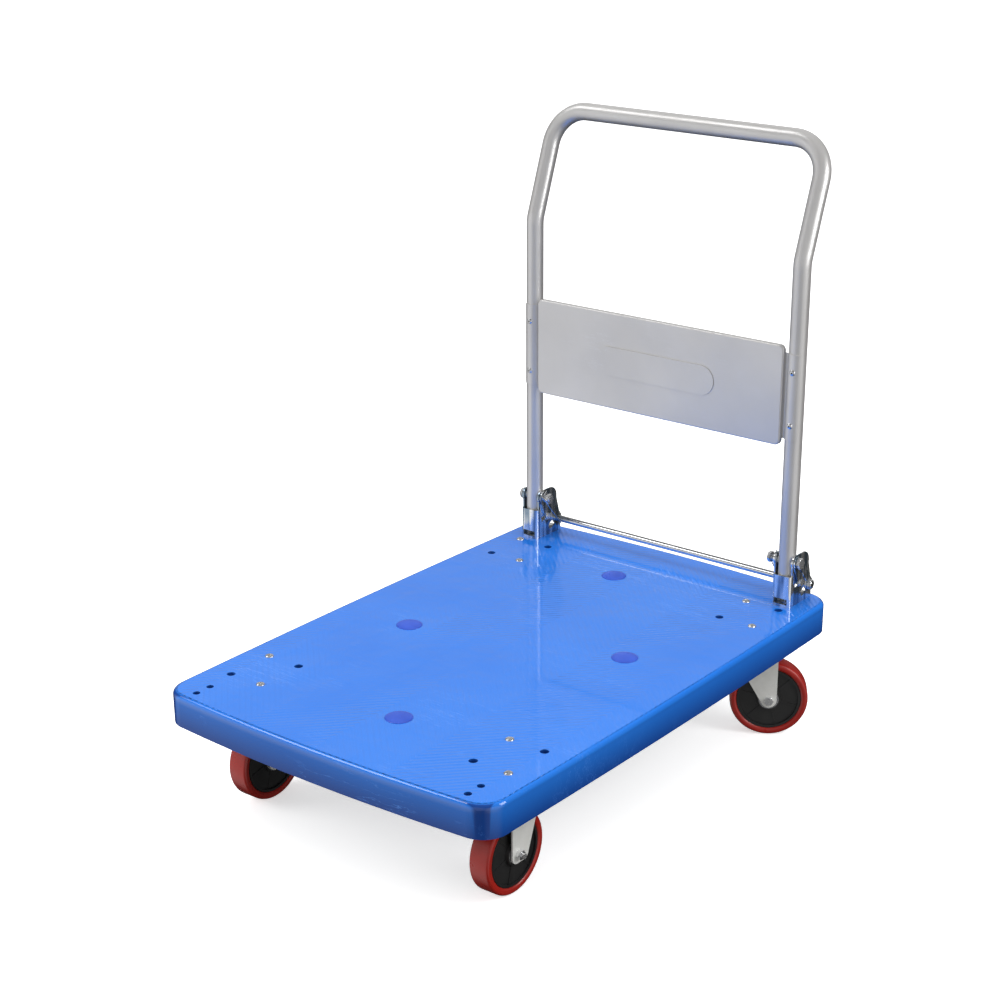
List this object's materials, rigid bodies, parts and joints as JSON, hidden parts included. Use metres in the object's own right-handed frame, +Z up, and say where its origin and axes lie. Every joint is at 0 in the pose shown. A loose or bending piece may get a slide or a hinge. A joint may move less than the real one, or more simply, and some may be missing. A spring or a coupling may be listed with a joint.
{
  "type": "folding platform cart",
  "caption": "Flat moulded platform cart with a fold-down tube handle, a sprung release bar, rigid and swivel casters, and a sheet panel between the handle's uprights.",
  "frame": {"origin": "on the floor, under the middle of the deck", "axes": "+Y towards the handle, +X to the right when facing the handle, +Z up"},
  "size_m": [0.6388, 0.915, 0.942],
  "materials": {
    "deck_plastic": "glossy moulded blue polyethylene with faint flow and sink marks",
    "cap_plastic": "glossy moulded plug, slightly more violet than the deck",
    "handle_paint": "silver-grey powder coat",
    "bracket_zinc": "bright zinc plate on pressed steel",
    "fork_zinc": "light zinc plate on pressed steel",
    "fastener_zinc": "bright zinc plated fasteners",
    "rivet_aluminium": "satin aluminium blind rivets",
    "spring_steel": "drawn spring wire",
    "bearing_steel": "ground bearing steel",
    "tyre_rubber": "red polyurethane tyre, slightly glossy",
    "core_plastic": "black moulded nylon",
    "black_plastic": "black plastic plug",
    "bush_plastic": "natural nylon bush"
  },
  "bodies": {
    "chassis": {"bracket_bolts": "fastener_zinc", "bracket_nuts": "fastener_zinc", "bracket_washers": "fastener_zinc", "caster_nuts": "fastener_zinc", "caster_screws": "fastener_zinc", "caster_washers": "fastener_zinc", "deck": "deck_plastic", "deck_caps": "cap_plastic", "hinge_bracket_left": "bracket_zinc", "hinge_bracket_right": "bracket_zinc", "kingpin_nuts": "fastener_zinc", "kingpin_washers": "fastener_zinc", "kingpins": "fastener_zinc", "pivot_bolts": "fastener_zinc", "pivot_nuts": "fastener_zinc", "rigid_axle_bolts": "fastener_zinc", "rigid_axle_nuts": "fastener_zinc", "rigid_axle_sleeves": "fastener_zinc", "rigid_fork_left": "fork_zinc", "rigid_fork_right": "fork_zinc", "swivel_balls": "bearing_steel", "swivel_plate_left": "fork_zinc", "swivel_plate_right": "fork_zinc"},
    "handle": {"handle_tube": "handle_paint", "handle_panel": "handle_paint", "panel_rivets": "rivet_aluminium", "pivot_bushes": "bush_plastic", "tube_plugs": "black_plastic"},
    "release_bar": {"return_spring_left": "spring_steel", "return_spring_right": "spring_steel", "release_bar": "bracket_zinc", "release_link_outer_left": "bracket_zinc", "release_link_outer_right": "bracket_zinc", "release_link_inner_left": "bracket_zinc", "release_link_inner_right": "bracket_zinc", "lock_pins": "fastener_zinc", "bar_end_washers": "fastener_zinc", "bar_end_nuts": "fastener_zinc"},
    "swivel_left": {"swivel_fork_left": "fork_zinc", "swivel_axle_bolt_left": "fastener_zinc", "swivel_axle_sleeve_left": "fastener_zinc", "swivel_axle_nut_left": "fastener_zinc"},
    "swivel_right": {"swivel_fork_right": "fork_zinc", "swivel_axle_bolt_right": "fastener_zinc", "swivel_axle_sleeve_right": "fastener_zinc", "swivel_axle_nut_right": "fastener_zinc"},
    "wheel_front_left": {"tyre_front_left": "tyre_rubber", "core_front_left": "core_plastic", "bearings_front_left": "bearing_steel"},
    "wheel_front_right": {"tyre_front_right": "tyre_rubber", "core_front_right": "core_plastic", "bearings_front_right": "bearing_steel"},
    "wheel_rear_left": {"tyre_rear_left": "tyre_rubber", "core_rear_left": "core_plastic", "bearings_rear_left": "bearing_steel"},
    "wheel_rear_right": {"tyre_rear_right": "tyre_rubber", "core_rear_right": "core_plastic", "bearings_rear_right": "bearing_steel"}
  },
  "joints": [
    {"name": "handle_fold", "type": "hinge", "parent": "chassis", "child": "handle", "pos_m": [0, 0.381, 0.276], "axis": [1, 0, 0], "range_deg": [0, 96.9]},
    {"name": "release_press", "type": "hinge", "parent": "chassis", "child": "release_bar", "pos_m": [0, 0.381, 0.276], "axis": [1, 0, 0], "range_deg": [-16, 0], "stiffness_Nm_per_rad": 2, "springref_deg": 17.19},
    {"name": "swivel_left", "type": "hinge", "parent": "chassis", "child": "swivel_left", "pos_m": [-0.229, 0.3085, 0.1], "axis": [0, 0, 1], "continuous": true},
    {"name": "swivel_right", "type": "hinge", "parent": "chassis", "child": "swivel_right", "pos_m": [0.229, 0.3085, 0.1], "axis": [0, 0, 1], "continuous": true},
    {"name": "roll_front_left", "type": "hinge", "parent": "chassis", "child": "wheel_front_left", "pos_m": [-0.229, -0.3155, 0.0625], "axis": [1, 0, 0], "continuous": true},
    {"name": "roll_rear_left", "type": "hinge", "parent": "swivel_left", "child": "wheel_rear_left", "pos_m": [-0.25961, 0.32838, 0.0625], "axis": [0.5446, 0.8387, 0], "continuous": true},
    {"name": "roll_front_right", "type": "hinge", "parent": "chassis", "child": "wheel_front_right", "pos_m": [0.229, -0.3155, 0.0625], "axis": [1, 0, 0], "continuous": true},
    {"name": "roll_rear_right", "type": "hinge", "parent": "swivel_right", "child": "wheel_rear_right", "pos_m": [0.25961, 0.32838, 0.0625], "axis": [0.5446, -0.8387, 0], "continuous": true}
  ]
}
